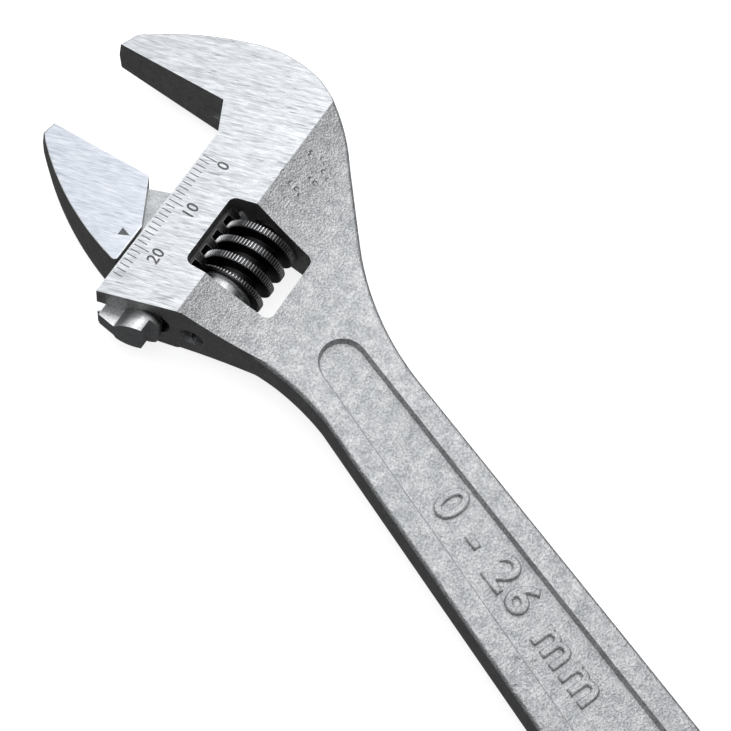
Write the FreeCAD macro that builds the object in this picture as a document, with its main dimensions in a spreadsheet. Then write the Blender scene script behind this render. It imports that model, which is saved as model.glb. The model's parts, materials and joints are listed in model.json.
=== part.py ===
import FreeCAD, Part
import math
import os

import Sketcher
from FreeCAD import Placement, Rotation, Vector

# Adjustable wrench, 8 inch class, in millimetres.
#
# Every piece is drawn in the head frame: X runs along the jaw slide in the
# opening direction with zero at scale mark 0, Y runs from the slide edge into
# the head, and Z is the normal of the graduated face with zero at mid thickness.
# The placement shared by all pieces then turns the handle onto X, with the
# jaws towards +X and the origin in the middle of the hang hole.

DIMENSIONS = [
    # handle
    ("slide_angle", 22.5, "angle between jaw faces and handle axis, degrees"),
    ("axis_x", 17.71, "handle axis, X of its reference point"),
    ("axis_y", 40.0, "handle axis, Y of its reference point"),
    ("hang_reach", 121.0, "reference point to hang hole"),
    ("hang_radius", 4.5, "hang hole radius"),
    ("hang_chamfer", 0.5, "chamfer of the hang hole"),
    ("neck_half", 8.45, "half width of the handle at the reference point"),
    ("tail_half", 12.1, "half width of the handle at the hang hole"),
    ("neck_right", 9.0, "start of the straight handle edge on the crown side"),
    ("neck_left", 6.0, "start of the straight handle edge on the jaw side"),
    ("neck_right_radius", 49.4, "radius of the neck on the crown side"),
    ("neck_left_radius", 43.8, "radius of the neck on the jaw side"),
    ("handle_half", 3.25, "half thickness of the handle"),
    ("draft", 5.0, "forging draft, degrees"),
    # recessed panel of the handle
    ("panel_start", -1.0, "centre of the head end of the panel"),
    ("panel_clear", 22.0, "centre of the tail end of the panel to the hang hole"),
    ("panel_head_half", 3.7, "half width of the panel floor, head end"),
    ("panel_tail_half", 6.2, "half width of the panel floor, tail end"),
    ("panel_depth", 1.1, "depth of the panel on each face"),
    ("panel_flare", 24.0, "slope of the panel walls, degrees"),
    # head
    ("half_thick", 6.0, "half thickness at the slide edge"),
    ("face_taper", 5.48, "slope of the ground faces, degrees"),
    ("ridge_at", 12.9, "Y of the ridge between ground and forged faces"),
    ("blend_end", 34.0, "Y where the forged face reaches handle thickness"),
    ("face_at", 10.9, "fixed jaw face above scale mark 0"),
    ("jaw_reach", 23.6, "jaw tips beyond the slide edge"),
    ("throat_in", 2.8, "start of the throat slant on the fixed jaw face"),
    ("throat_out", 5.0, "end of the throat slant above scale mark 0"),
    ("crown_at", 24.8, "top of the head above scale mark 0"),
    ("tip_x", -12.9, "outer corner of the fixed jaw tip, X"),
    ("tip_inset", 0.4, "outer corner of the fixed jaw tip, step from the tip line"),
    ("nose_x", -15.4, "end of the rounded nose of the fixed jaw, X"),
    ("nose_inset", 2.5, "end of the rounded nose, step from the tip line"),
    ("nose_radius", 3.5, "radius of the nose"),
    ("back_radius", 53.0, "radius of the back of the fixed jaw"),
    ("crown_drop", 1.3, "outer end of the crown arc below its top"),
    ("heel_drop", 1.35, "inner end of the crown arc below its top"),
    ("crown_from", -5.4, "start of the crown arc, Y"),
    ("crown_to", 9.4, "end of the crown arc, Y"),
    ("crown_radius", 21.0, "radius of the crown"),
    ("heel_x", -13.4, "end of the heel arc, X"),
    ("heel_y", 21.45, "end of the heel arc, Y"),
    ("heel_radius", 30.0, "radius of the heel"),
    ("flank_x", -2.05, "end of the straight flank behind the heel, X"),
    ("flank_y", 30.6, "end of the straight flank behind the heel, Y"),
    ("head_end", 30.3, "lower corner of the head on the slide edge"),
    ("head_end_slope", 0.292, "rise of the head end per unit of Y"),
    ("shoulder_x", 26.8, "lower shoulder of the head, X"),
    ("shoulder_y", 13.6, "lower shoulder of the head, Y"),
    ("waist_x", 25.15, "waist below the window, X"),
    ("waist_y", 26.0, "waist below the window, Y"),
    ("trim", 0.1, "depth of the cut that squares the lower shoulder"),
    # window
    ("window_left", 8.75, "window side next to the rack, Y"),
    ("window_right", 25.4, "window side next to the handle, Y"),
    ("window_low", 18.25, "window end below the worm, X"),
    ("window_top", 4.15, "window end above the worm at the rack side, X"),
    ("window_peak_x", 3.0, "highest point of the window, X"),
    ("window_peak_y", 13.2, "highest point of the window, Y"),
    ("window_top_right", 5.0, "window end above the worm at the far side, X"),
    ("window_round", 1.4, "radius of the window corners"),
    # slide
    ("rest_gap", 19.0, "jaw opening as modelled"),
    ("jaw_gap", 0.4, "gap between moving jaw and slide edge"),
    ("jaw_back", 24.4, "lower corner of the moving jaw, X"),
    ("jaw_nose_out", 1.15, "nose of the moving jaw beyond the fixed jaw tip"),
    ("jaw_nose_from", 2.5, "start of the nose behind the moving jaw face"),
    ("jaw_nose_to", 3.85, "end of the nose behind the moving jaw face"),
    ("jaw_back_radius", 54.0, "radius of the back of the moving jaw"),
    ("jaw_slant_y", 4.94, "start of the slant beside the slide edge, step from it"),
    ("jaw_slant_x", 8.9, "end of the slant behind the moving jaw face"),
    ("web_half", 1.8, "half thickness of the web"),
    ("web_gap", 0.05, "side clearance of the web"),
    ("web_foot_x", 1.4, "upper web corner inside the jaw, behind the jaw face"),
    ("web_foot_y", 6.9, "upper web corner inside the jaw, step from the slide edge"),
    ("web_top_x", 4.7, "upper end of the bar ahead of the moving jaw face"),
    ("web_top_y", 7.2, "upper end of the web slant, Y"),
    ("web_low_y", 1.5, "edge of the web below the jaw, Y"),
    ("bar_y", 8.0, "axis of the round slide bar, Y"),
    ("bar_radius", 3.8, "radius of the slide bar"),
    ("bar_gap", 0.05, "radial clearance of the slide bar"),
    ("bar_end", 31.5, "lower end of the slide bar, X"),
    ("end_gap", 0.5, "clearance beyond the upper end of the slide"),
    # worm, pin and spring
    ("worm_y", 15.8, "axis of the worm, Y"),
    ("worm_radius", 6.35, "radius over the thread"),
    ("root_radius", 3.8, "radius of the worm core"),
    ("lead", 3.3, "lead of the worm and pitch of the rack"),
    ("crest_width", 1.25, "width of the thread land"),
    ("flank", 6.0, "slope of the thread flanks, degrees"),
    ("mesh_gap", 0.22, "clearance of each flank in the rack"),
    ("rack_gap", 0.1, "clearance between rack teeth and worm collar"),
    ("crest_at", 6.15, "first thread land on the graduated side, X"),
    ("thread_turns", 5.0, "turns swept before the thread is trimmed"),
    ("thread_start", 4.9, "upper end of the thread, X"),
    ("thread_end", 15.9, "lower end of the thread, X"),
    ("worm_top", 4.5, "upper end of the worm, X"),
    ("worm_low", 18.1, "lower end of the worm, X"),
    ("hub_radius", 4.45, "radius of the lower hub"),
    ("collar", 0.55, "width of the collar above the hub"),
    ("collar_radius", 4.8, "radius of the collar"),
    ("pin_radius", 1.5, "radius of the worm pin"),
    ("pin_gap", 0.06, "radial clearance of the worm on the pin"),
    ("pin_seat", 0.02, "radial clearance of the pin in the head"),
    ("pin_top", -1.0, "upper end of the pin, X"),
    ("pin_end_gap", 0.3, "room beyond the upper end of the pin"),
    ("pin_head_from", 21.0, "start of the pin head, X"),
    ("pin_head_to", 25.6, "end of the pin head, X"),
    ("pin_head_radius", 2.25, "radius of the pin head"),
    ("pin_slot", 0.8, "width of the screwdriver slot"),
    ("pin_slot_depth", 1.0, "depth of the screwdriver slot"),
    ("seat_radius", 3.1, "radius of the spring seat in the window"),
    ("seat_x", 2.4, "floor of the spring seat, X"),
    ("spring_radius", 2.15, "mean radius of the spring"),
    ("spring_wire", 0.25, "radius of the spring wire"),
    ("spring_room", 2.6, "radius of the spring pocket in the worm"),
    ("spring_floor", 7.4, "floor of the spring pocket, X"),
    ("spring_turns", 4.5, "turns of the spring"),
    ("spring_gap", 0.05, "end clearance of the spring"),
    # rounded edges
    ("forged_edge", 0.7, "radius of the forged edges"),
    ("ground_edge", 0.3, "radius of the ground edges"),
]

SIN = "sin(Dims.slide_angle * 1 deg)"
COS = "cos(Dims.slide_angle * 1 deg)"
TAPER = "tan(Dims.face_taper * 1 deg)"
FAR = 200.0
FACE = "(Dims.rest_gap - Dims.face_at)"

# Edge of the web towards the fixed jaw: it starts inside the moving jaw and
# slants up to the end of the slide bar.
WEB_FOOT = (FACE + " + Dims.web_foot_x", "-Dims.web_foot_y")
WEB_TOP = (FACE + " - Dims.web_top_x", "Dims.web_top_y")

doc = FreeCAD.newDocument("adjustable_wrench")


def make_sheet():
    """Write the driving dimensions, one alias to a row."""
    sheet = doc.addObject("Spreadsheet::Sheet", "Dims")
    for row, (alias, value, meaning) in enumerate(DIMENSIONS, start=1):
        sheet.set("A%d" % row, meaning)
        sheet.set("B%d" % row, str(value))
        sheet.setAlias("B%d" % row, alias)
    doc.recompute()
    return sheet


sheet = make_sheet()


def value(expression):
    """Number that an expression on the sheet gives."""
    result = sheet.evalExpression(expression)
    return float(getattr(result, "Value", result))


def shared_placement():
    """Head frame to part frame: handle axis on X, hang hole at the origin."""
    turn = Rotation(Vector(0, 0, 1), 90.0 + value("Dims.slide_angle"))
    hole = Vector(*[value(text) for text in along("Dims.hang_reach", "0")], 0)
    return Placement(-turn.multVec(hole), turn)


def along(distance, side):
    """Point at a distance down the handle axis and a side step, as two expressions."""
    x = "Dims.axis_x + (%s) * %s + (%s) * %s" % (distance, SIN, side, COS)
    y = "Dims.axis_y + (%s) * %s - (%s) * %s" % (distance, COS, side, SIN)
    return x, y


def new_body(name):
    body = doc.addObject("PartDesign::Body", name)
    body.Label = name
    return body


def plane_of(body, role):
    return next(item for item in body.Origin.OriginFeatures if item.Role == role)


def new_sketch(body, name, role, shift=None, tilt=None):
    """Empty sketch on an origin plane; shift is an expression along the normal."""
    sketch = body.newObject("Sketcher::SketchObject", name)
    sketch.AttachmentSupport = (plane_of(body, role), "")
    sketch.MapMode = "FlatFace"
    if tilt is not None:
        sketch.AttachmentOffset = Placement(Vector(0, 0, 0), Rotation(Vector(0, 1, 0), tilt))
    if shift is not None:
        sketch.setExpression("AttachmentOffset.Base.z", shift)
    return sketch


def bind(sketch, kind, arguments, expression):
    """Add a constraint and tie it to the sheet."""
    index = sketch.addConstraint(Sketcher.Constraint(kind, *arguments, value(expression)))
    sketch.setExpression("Constraints[%d]" % index, expression)


def draw_loop(sketch, nodes):
    """Closed outline. A node is (x, y) or (x, y, radius): the edge that leaves it
    is straight, or an arc that turns left for a positive radius and right for a
    negative one, or a half circle to the right where the radius is "half".
    x, y and the radius are expressions on the sheet."""
    points = [Vector(value(node[0]), value(node[1]), 0) for node in nodes]
    ends = []
    for index, node in enumerate(nodes):
        start, end = points[index], points[(index + 1) % len(nodes)]
        if len(node) == 2:
            edge = sketch.addGeometry(Part.LineSegment(start, end), False)
            ends.append((edge, 1, 2))
            continue
        half = node[2] == "half"
        left = not half and not node[2].startswith("-")
        chord = end - start
        radius = chord.Length / 2 if half else value(node[2].lstrip("-"))
        rise = 0.0 if half else math.sqrt(radius ** 2 - (chord.Length / 2) ** 2)
        normal = Vector(-chord.y, chord.x, 0).normalize() * (rise if left else -rise)
        centre = (start + end) * 0.5 + normal
        first, last = (start, end) if left else (end, start)
        angles = [math.atan2(p.y - centre.y, p.x - centre.x) for p in (first, last)]
        if angles[1] < angles[0]:
            angles[1] += 2 * math.pi
        circle = Part.Circle(centre, Vector(0, 0, 1), radius)
        edge = sketch.addGeometry(Part.ArcOfCircle(circle, *angles), False)
        ends.append((edge, 1, 2) if left else (edge, 2, 1))
        if half:
            opposite = nodes[(index + 1) % len(nodes)]
            bind(sketch, "DistanceY", (edge, 3), "((%s) + (%s)) / 2" % (node[1], opposite[1]))
        else:
            bind(sketch, "Radius", (edge,), node[2].lstrip("-"))
    for index, (edge, first, last) in enumerate(ends):
        following = ends[(index + 1) % len(ends)]
        sketch.addConstraint(Sketcher.Constraint("Coincident", edge, last, following[0], following[1]))
        bind(sketch, "DistanceX", (edge, first), nodes[index][0])
        bind(sketch, "DistanceY", (edge, first), nodes[index][1])


def draw_circle(sketch, x, y, radius):
    """Circle; x, y and the radius are expressions on the sheet."""
    centre = Vector(value(x), value(y), 0)
    edge = sketch.addGeometry(Part.Circle(centre, Vector(0, 0, 1), value(radius)), False)
    bind(sketch, "Radius", (edge,), radius)
    bind(sketch, "DistanceX", (edge, 3), x)
    bind(sketch, "DistanceY", (edge, 3), y)


def draw_worm_axis(sketch):
    """Construction line on the axis of the worm, to turn a helix about."""
    height = value("Dims.worm_y")
    line = sketch.addGeometry(Part.LineSegment(Vector(0, height, 0), Vector(20, height, 0)), True)
    sketch.addConstraint(Sketcher.Constraint("Horizontal", line))
    bind(sketch, "DistanceY", (line, 1), "Dims.worm_y")
    bind(sketch, "DistanceX", (line, 1), "0")
    bind(sketch, "DistanceX", (line, 2), "Dims.worm_low")


def add_helix(body, name, sketch, mode, **settings):
    """Coil swept about the worm axis. Text settings are expressions."""
    draw_worm_axis(sketch)
    helix = body.newObject("PartDesign::AdditiveHelix", name)
    helix.Profile = sketch
    helix.ReferenceAxis = (sketch, ["Axis0"])
    helix.Mode = mode
    for key, setting in settings.items():
        helix.setExpression(key, setting)
    sketch.Visibility = False
    doc.recompute()


def add_feature(body, kind, name, sketch, **settings):
    """Sketch based feature. Text settings that name the sheet become expressions."""
    feature = body.newObject("PartDesign::" + kind, name)
    feature.Profile = sketch
    for key, setting in settings.items():
        if isinstance(setting, str) and "Dims." in setting:
            feature.setExpression(key, setting)
        else:
            setattr(feature, key, setting)
    sketch.Visibility = False
    doc.recompute()
    return feature


def round_edges(body, name, base, radius, chosen):
    """Fillet of the edges for which chosen(edge) is true."""
    names = ["Edge%d" % (i + 1) for i, edge in enumerate(base.Shape.Edges) if chosen(edge)]
    fillet = body.newObject("PartDesign::Fillet", name)
    fillet.Base = (base, names)
    fillet.setExpression("Radius", radius)
    doc.recompute()
    return fillet


def face_profile(sketch, top_y, end_y):
    """Everything above and below the ground and forged faces, to be cut away."""
    ridge = "(Dims.half_thick + Dims.ridge_at * %s)" % TAPER
    drop = "(%s - Dims.handle_half)" % ridge
    run = "(Dims.blend_end - Dims.ridge_at)"
    radius = "(%s ^ 2 + %s ^ 2) / (2 * %s)" % (run, drop, drop)
    start = "(Dims.half_thick + (%s) * %s)" % (top_y, TAPER)
    clear = "3 * Dims.half_thick"
    above = [
        (top_y, start),
        ("Dims.ridge_at", ridge, radius),
        ("Dims.blend_end", "Dims.handle_half"),
        (end_y, "Dims.handle_half"),
        (end_y, clear),
        (top_y, clear),
    ]
    draw_loop(sketch, above)
    draw_loop(sketch, [(node[0],) + tuple("-" + text for text in node[1:]) for node in above])


def wedge_profile(sketch, top_y, end_y):
    """Everything above and below the ground faces of a jaw, to be cut away."""
    start = "(Dims.half_thick + (%s) * %s)" % (top_y, TAPER)
    stop = "(Dims.half_thick + (%s) * %s)" % (end_y, TAPER)
    clear = "3 * Dims.half_thick"
    for sign in ("", "-"):
        draw_loop(sketch, [
            (top_y, sign + start),
            (end_y, sign + stop),
            (end_y, sign + clear),
            (top_y, sign + clear),
        ])


def frame_height(y):
    """Half thickness of the frame at a distance from the slide edge."""
    slope = math.tan(math.radians(value("Dims.face_taper")))
    ridge_at = value("Dims.ridge_at")
    ridge = value("Dims.half_thick") + ridge_at * slope
    if y <= ridge_at:
        return value("Dims.half_thick") + y * slope
    low = value("Dims.handle_half")
    run = value("Dims.blend_end") - ridge_at
    radius = (run ** 2 + (ridge - low) ** 2) / (2 * (ridge - low))
    rest = max(value("Dims.blend_end") - y, 0.0)
    return low + radius - math.sqrt(radius ** 2 - rest ** 2)


def drafted(face):
    """True for the outer walls that keep the forging draft."""
    u0, u1, v0, v1 = face.ParameterRange
    slope = abs(face.normalAt((u0 + u1) / 2, (v0 + v1) / 2).z)
    return abs(slope - math.sin(math.radians(value("Dims.draft")))) < 0.01


def rim_edges(shape, from_y, to_y):
    """Edges where a drafted wall meets the upper or lower surface."""

    def chosen(edge):
        middle = edge.valueAt((edge.FirstParameter + edge.LastParameter) / 2)
        if not from_y < middle.y < to_y:
            return False
        if abs(abs(middle.z) - frame_height(middle.y)) > 0.05:
            return False
        return any(drafted(face) for face in shape.ancestorsOfType(edge, Part.Face))

    return chosen


def make_frame():
    """Forged frame: handle, head and fixed jaw in one piece."""
    body = new_body("frame")
    outline = new_sketch(body, "frame_outline", "XY_Plane")
    widening = "(Dims.tail_half - Dims.neck_half) / Dims.hang_reach"
    draw_loop(outline, [
        ("1.4 - Dims.face_at", "-(Dims.jaw_reach + 1)"),
        ("Dims.tip_x", "Dims.tip_inset - Dims.jaw_reach", "-Dims.nose_radius"),
        ("Dims.nose_x", "Dims.nose_inset - Dims.jaw_reach", "-Dims.back_radius"),
        ("Dims.crown_drop - Dims.crown_at", "Dims.crown_from", "-Dims.crown_radius"),
        ("Dims.heel_drop - Dims.crown_at", "Dims.crown_to", "-Dims.heel_radius"),
        ("Dims.heel_x", "Dims.heel_y"),
        ("Dims.flank_x", "Dims.flank_y", "Dims.neck_right_radius"),
        along("Dims.neck_right", "-(Dims.neck_half + Dims.neck_right * %s)" % widening),
        along("Dims.hang_reach", "-Dims.tail_half") + ("half",),
        along("Dims.hang_reach", "Dims.tail_half"),
        along("Dims.neck_left", "Dims.neck_half + Dims.neck_left * %s" % widening)
        + ("Dims.neck_left_radius",),
        ("Dims.waist_x", "Dims.waist_y"),
        ("Dims.shoulder_x", "Dims.shoulder_y + 0.4"),
        ("Dims.shoulder_x + 1.6", "Dims.shoulder_y"),
        ("Dims.head_end + 2.7", "-4.5"),
        ("1.4 - Dims.face_at", "-4.5"),
    ])
    add_feature(body, "Pad", "frame_blank", outline, SideType="Two sides", Length=9.0, Length2=9.0,
                TaperAngle="-Dims.draft", TaperAngle2="-Dims.draft")

    profile = new_sketch(body, "frame_profile", "YZ_Plane")
    face_profile(profile, "-(Dims.jaw_reach + 5)", "Dims.axis_y + Dims.hang_reach + Dims.tail_half")
    add_feature(body, "Pocket", "frame_faces", profile, SideType="Symmetric", Length=4 * FAR)

    low_y = "(Dims.shoulder_y - Dims.trim)"
    mouth = new_sketch(body, "mouth", "XY_Plane")
    draw_loop(mouth, [
        ("-Dims.face_at", "-2 * Dims.jaw_reach"),
        ("-Dims.face_at", "-Dims.throat_in"),
        ("-Dims.throat_out", "0"),
        ("Dims.head_end", "0"),
        ("Dims.head_end - Dims.head_end_slope * " + low_y, low_y),
        ("Dims.shoulder_x + Dims.trim", "Dims.shoulder_y + 5 * Dims.trim"),
        ("2 * Dims.head_end", "Dims.shoulder_y + 5 * Dims.trim"),
        ("2 * Dims.head_end", "-2 * Dims.jaw_reach"),
    ])
    cut = add_feature(body, "Pocket", "mouth_cut", mouth, SideType="Symmetric", Length=FAR)

    rims = rim_edges(cut.Shape, value("Dims.ridge_at") + 0.5, FAR)

    def forged(edge):
        middle = edge.valueAt((edge.FirstParameter + edge.LastParameter) / 2)
        sharp_flank = middle.x > 0 and middle.y < value("Dims.waist_y")
        return rims(edge) and not sharp_flank

    rounded = round_edges(body, "forged_edges", cut, "Dims.forged_edge", forged)
    round_edges(body, "ground_edges", rounded, "Dims.ground_edge",
                rim_edges(rounded.Shape, -FAR, value("Dims.ridge_at")))

    window = new_sketch(body, "window", "XY_Plane")
    draw_loop(window, [
        ("Dims.window_top", "Dims.window_left"),
        ("Dims.window_peak_x", "Dims.window_peak_y"),
        ("Dims.window_top_right", "Dims.window_right"),
        ("Dims.window_low", "Dims.window_right"),
        ("Dims.window_low", "Dims.window_left"),
    ])
    add_feature(body, "Pocket", "window_cut", window, SideType="Symmetric", Length=FAR)
    opened = body.Tip

    def window_corner(edge):
        if len(edge.Vertexes) != 2 or abs(edge.tangentAt(edge.FirstParameter).z) < 0.999:
            return False
        place = edge.Vertexes[0].Point
        inside_x = value("Dims.window_peak_x") - 0.1 < place.x < value("Dims.window_low") + 0.1
        return inside_x and value("Dims.window_left") - 0.1 < place.y < value("Dims.window_right") + 0.1

    round_edges(body, "window_corners", opened, "Dims.window_round", window_corner)

    slot = new_sketch(body, "web_slot", "XY_Plane")
    closed = "(Dims.rest_gap + Dims.end_gap)"
    draw_loop(slot, [
        ("%s - %s" % (WEB_FOOT[0], closed), WEB_FOOT[1]),
        ("%s - %s" % (WEB_TOP[0], closed), WEB_TOP[1]),
        ("%s - %s" % (WEB_TOP[0], closed), "Dims.bar_y"),
        ("2 * Dims.head_end", "Dims.bar_y"),
        ("2 * Dims.head_end", WEB_FOOT[1]),
    ])
    add_feature(body, "Pocket", "web_slot_cut", slot, SideType="Symmetric",
                Length="2 * (Dims.web_half + Dims.web_gap)")

    bore = new_sketch(body, "rack_bore", "YZ_Plane", "%s - %s" % (WEB_TOP[0], closed))
    draw_circle(bore, "Dims.bar_y", "0", "Dims.bar_radius + Dims.bar_gap")
    add_feature(body, "Pocket", "rack_bore_cut", bore, Length=FAR, Reversed=True)

    hole = new_sketch(body, "pin_hole", "YZ_Plane", "Dims.pin_top - Dims.pin_end_gap")
    draw_circle(hole, "Dims.worm_y", "0", "Dims.pin_radius + Dims.pin_seat")
    add_feature(body, "Pocket", "pin_hole_cut", hole, Length=FAR, Reversed=True)

    counterbore = new_sketch(body, "pin_counterbore", "YZ_Plane", "Dims.pin_head_from")
    draw_circle(counterbore, "Dims.worm_y", "0", "Dims.pin_head_radius + Dims.pin_seat")
    add_feature(body, "Pocket", "pin_counterbore_cut", counterbore, Length=FAR, Reversed=True)

    seat = new_sketch(body, "spring_seat", "YZ_Plane", "Dims.seat_x")
    draw_circle(seat, "Dims.worm_y", "0", "Dims.seat_radius")
    add_feature(body, "Pocket", "spring_seat_cut", seat, Reversed=True,
                Length="Dims.window_low - Dims.seat_x - 5")

    panel = new_sketch(body, "panel", "XY_Plane", "Dims.handle_half - Dims.panel_depth")
    draw_loop(panel, [
        along("Dims.panel_start", "-Dims.panel_head_half"),
        along("Dims.hang_reach - Dims.panel_clear", "-Dims.panel_tail_half") + ("half",),
        along("Dims.hang_reach - Dims.panel_clear", "Dims.panel_tail_half"),
        along("Dims.panel_start", "Dims.panel_head_half") + ("half",),
    ])
    recess = add_feature(body, "Pocket", "panel_cut", panel, Reversed=True, Length=3.0,
                         TaperAngle="Dims.panel_flare")
    mirrored = body.newObject("PartDesign::Mirrored", "panel_below")
    mirrored.Originals = [recess]
    mirrored.MirrorPlane = (plane_of(body, "XY_Plane"), [""])
    body.Tip = mirrored
    doc.recompute()

    hang = new_sketch(body, "hang_hole", "XY_Plane")
    draw_circle(hang, *along("Dims.hang_reach", "0"), "Dims.hang_radius")
    holed = add_feature(body, "Pocket", "hang_hole_cut", hang, SideType="Symmetric", Length=FAR)

    def hole_rim(edge):
        circle = edge.Curve
        if not isinstance(circle, Part.Circle) or abs(circle.Radius - value("Dims.hang_radius")) > 0.001:
            return False
        return abs(abs(circle.Center.z) - value("Dims.handle_half")) < 0.001

    names = ["Edge%d" % (i + 1) for i, edge in enumerate(holed.Shape.Edges) if hole_rim(edge)]
    chamfer = body.newObject("PartDesign::Chamfer", "hang_hole_chamfer")
    chamfer.Base = (holed, names)
    chamfer.setExpression("Size", "Dims.hang_chamfer")
    doc.recompute()
    return body


def make_jaw():
    """Moving jaw with its web, the round slide bar and the rack teeth."""
    body = new_body("moving_jaw")
    outline = new_sketch(body, "jaw_outline", "XY_Plane")
    draw_loop(outline, [
        (FACE + " - 1.5", "-(Dims.jaw_reach + 0.4)"),
        (FACE + " + Dims.jaw_nose_from", "-(Dims.jaw_reach + Dims.jaw_nose_out)"),
        (FACE + " + Dims.jaw_nose_to", "-Dims.jaw_reach", "Dims.jaw_back_radius"),
        ("Dims.jaw_back + 0.3", "-1.4"),
        ("Dims.jaw_back + 0.3", "1"),
        (FACE + " - 1.5", "1"),
    ])
    add_feature(body, "Pad", "jaw_blank", outline, SideType="Two sides", Length=9.0, Length2=9.0,
                TaperAngle="-Dims.draft", TaperAngle2="-Dims.draft")
    profile = new_sketch(body, "jaw_profile", "YZ_Plane")
    wedge_profile(profile, "-(Dims.jaw_reach + 5)", "5")
    add_feature(body, "Pocket", "jaw_faces", profile, SideType="Symmetric", Length=FAR)
    sides = new_sketch(body, "jaw_sides", "XY_Plane")
    draw_loop(sides, [
        (FACE, "-2 * Dims.jaw_reach"),
        (FACE, "-Dims.jaw_slant_y"),
        (FACE + " + Dims.jaw_slant_x", "-Dims.jaw_gap"),
        ("2 * Dims.head_end", "-Dims.jaw_gap"),
        ("2 * Dims.head_end", "Dims.jaw_reach"),
        ("-Dims.crown_at", "Dims.jaw_reach"),
        ("-Dims.crown_at", "-2 * Dims.jaw_reach"),
    ])
    cut = add_feature(body, "Pocket", "jaw_sides_cut", sides, SideType="Symmetric", Length=FAR)

    def rear_corner(edge):
        middle = edge.valueAt((edge.FirstParameter + edge.LastParameter) / 2)
        return middle.x > value("Dims.jaw_back") - 1 and abs(middle.z) < 0.5 * value("Dims.half_thick")

    rounded = round_edges(body, "jaw_rear_corner", cut, "Dims.forged_edge", rear_corner)
    round_edges(body, "jaw_edges", rounded, "Dims.ground_edge",
                rim_edges(rounded.Shape, -FAR, -1.6))

    web = new_sketch(body, "web", "XY_Plane")
    draw_loop(web, [
        WEB_FOOT,
        WEB_TOP,
        (WEB_TOP[0], "Dims.bar_y"),
        ("Dims.bar_end + 5", "Dims.bar_y"),
        ("Dims.bar_end + 5", "Dims.web_low_y"),
        ("Dims.jaw_back + 0.6", "Dims.web_low_y"),
        ("Dims.jaw_back - 1", "-2"),
    ])
    add_feature(body, "Pad", "web_pad", web, SideType="Symmetric", Length="2 * Dims.web_half")
    bar = new_sketch(body, "bar", "YZ_Plane", WEB_TOP[0])
    draw_circle(bar, "Dims.bar_y", "0", "Dims.bar_radius")
    add_feature(body, "Pad", "bar_pad", bar, Length="Dims.bar_end + 5 - (%s)" % WEB_TOP[0])

    end = new_sketch(body, "slide_end", "XY_Plane")
    draw_loop(end, [
        ("Dims.bar_end - Dims.head_end_slope * (Dims.window_left - 3)", "Dims.window_left + 5.5"),
        ("Dims.bar_end + Dims.head_end_slope * 3.25", "5"),
        ("Dims.bar_end + 0.4", "Dims.web_low_y - 0.5"),
        ("2 * Dims.head_end", "Dims.web_low_y - 0.5"),
        ("2 * Dims.head_end", "Dims.window_left + 5.5"),
    ])
    add_feature(body, "Pocket", "slide_end_cut", end, SideType="Symmetric", Length=FAR)

    tops = new_sketch(body, "rack_tops", "XY_Plane")
    tooth_top = "Dims.worm_y - Dims.collar_radius - Dims.rack_gap"
    draw_loop(tops, [
        ("-Dims.crown_at", tooth_top),
        ("2 * Dims.head_end", tooth_top),
        ("2 * Dims.head_end", "Dims.worm_y"),
        ("-Dims.crown_at", "Dims.worm_y"),
    ])
    add_feature(body, "Pocket", "rack_tops_cut", tops, SideType="Symmetric", Length=FAR)

    mean = (value("Dims.worm_radius") + value("Dims.root_radius")) / 2
    lean = math.degrees(math.atan(value("Dims.lead") / (2 * math.pi * mean)))
    root = "(Dims.worm_y - Dims.worm_radius - Dims.mesh_gap)"
    centre = "(Dims.crest_at - 3 * Dims.lead / 4)"
    narrow = "(Dims.crest_width / 2 + Dims.mesh_gap)"
    wide = "(%s + 5 * tan(Dims.flank * 1 deg))" % narrow
    tooth = new_sketch(body, "rack_gap", "XY_Plane", tilt=-lean)
    draw_loop(tooth, [
        ("%s - %s" % (centre, narrow), root),
        ("%s - %s" % (centre, wide), root + " + 5"),
        ("%s + %s" % (centre, wide), root + " + 5"),
        ("%s + %s" % (centre, narrow), root),
    ])
    gap = add_feature(body, "Pocket", "rack_gap_cut", tooth, SideType="Symmetric", Length=FAR)
    rack = body.newObject("PartDesign::LinearPattern", "rack")
    rack.Originals = [gap]
    rack.Direction = (plane_of(body, "X_Axis"), [""])
    count = int((value("Dims.bar_end") - value(centre)) / value("Dims.lead")) + 1
    rack.Occurrences = count
    rack.setExpression("Length", "Dims.lead * %d" % (count - 1))
    body.Tip = rack
    doc.recompute()
    tail = new_sketch(body, "rack_end", "XY_Plane")
    draw_loop(tail, [
        ("%s + Dims.lead * %d" % (centre, count - 1), root),
        ("%s + Dims.lead * %d" % (centre, count - 1), "14"),
        ("2 * Dims.head_end", "14"),
        ("2 * Dims.head_end", root),
    ])
    add_feature(body, "Pocket", "rack_end_cut", tail, SideType="Symmetric", Length=FAR)
    return body


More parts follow.
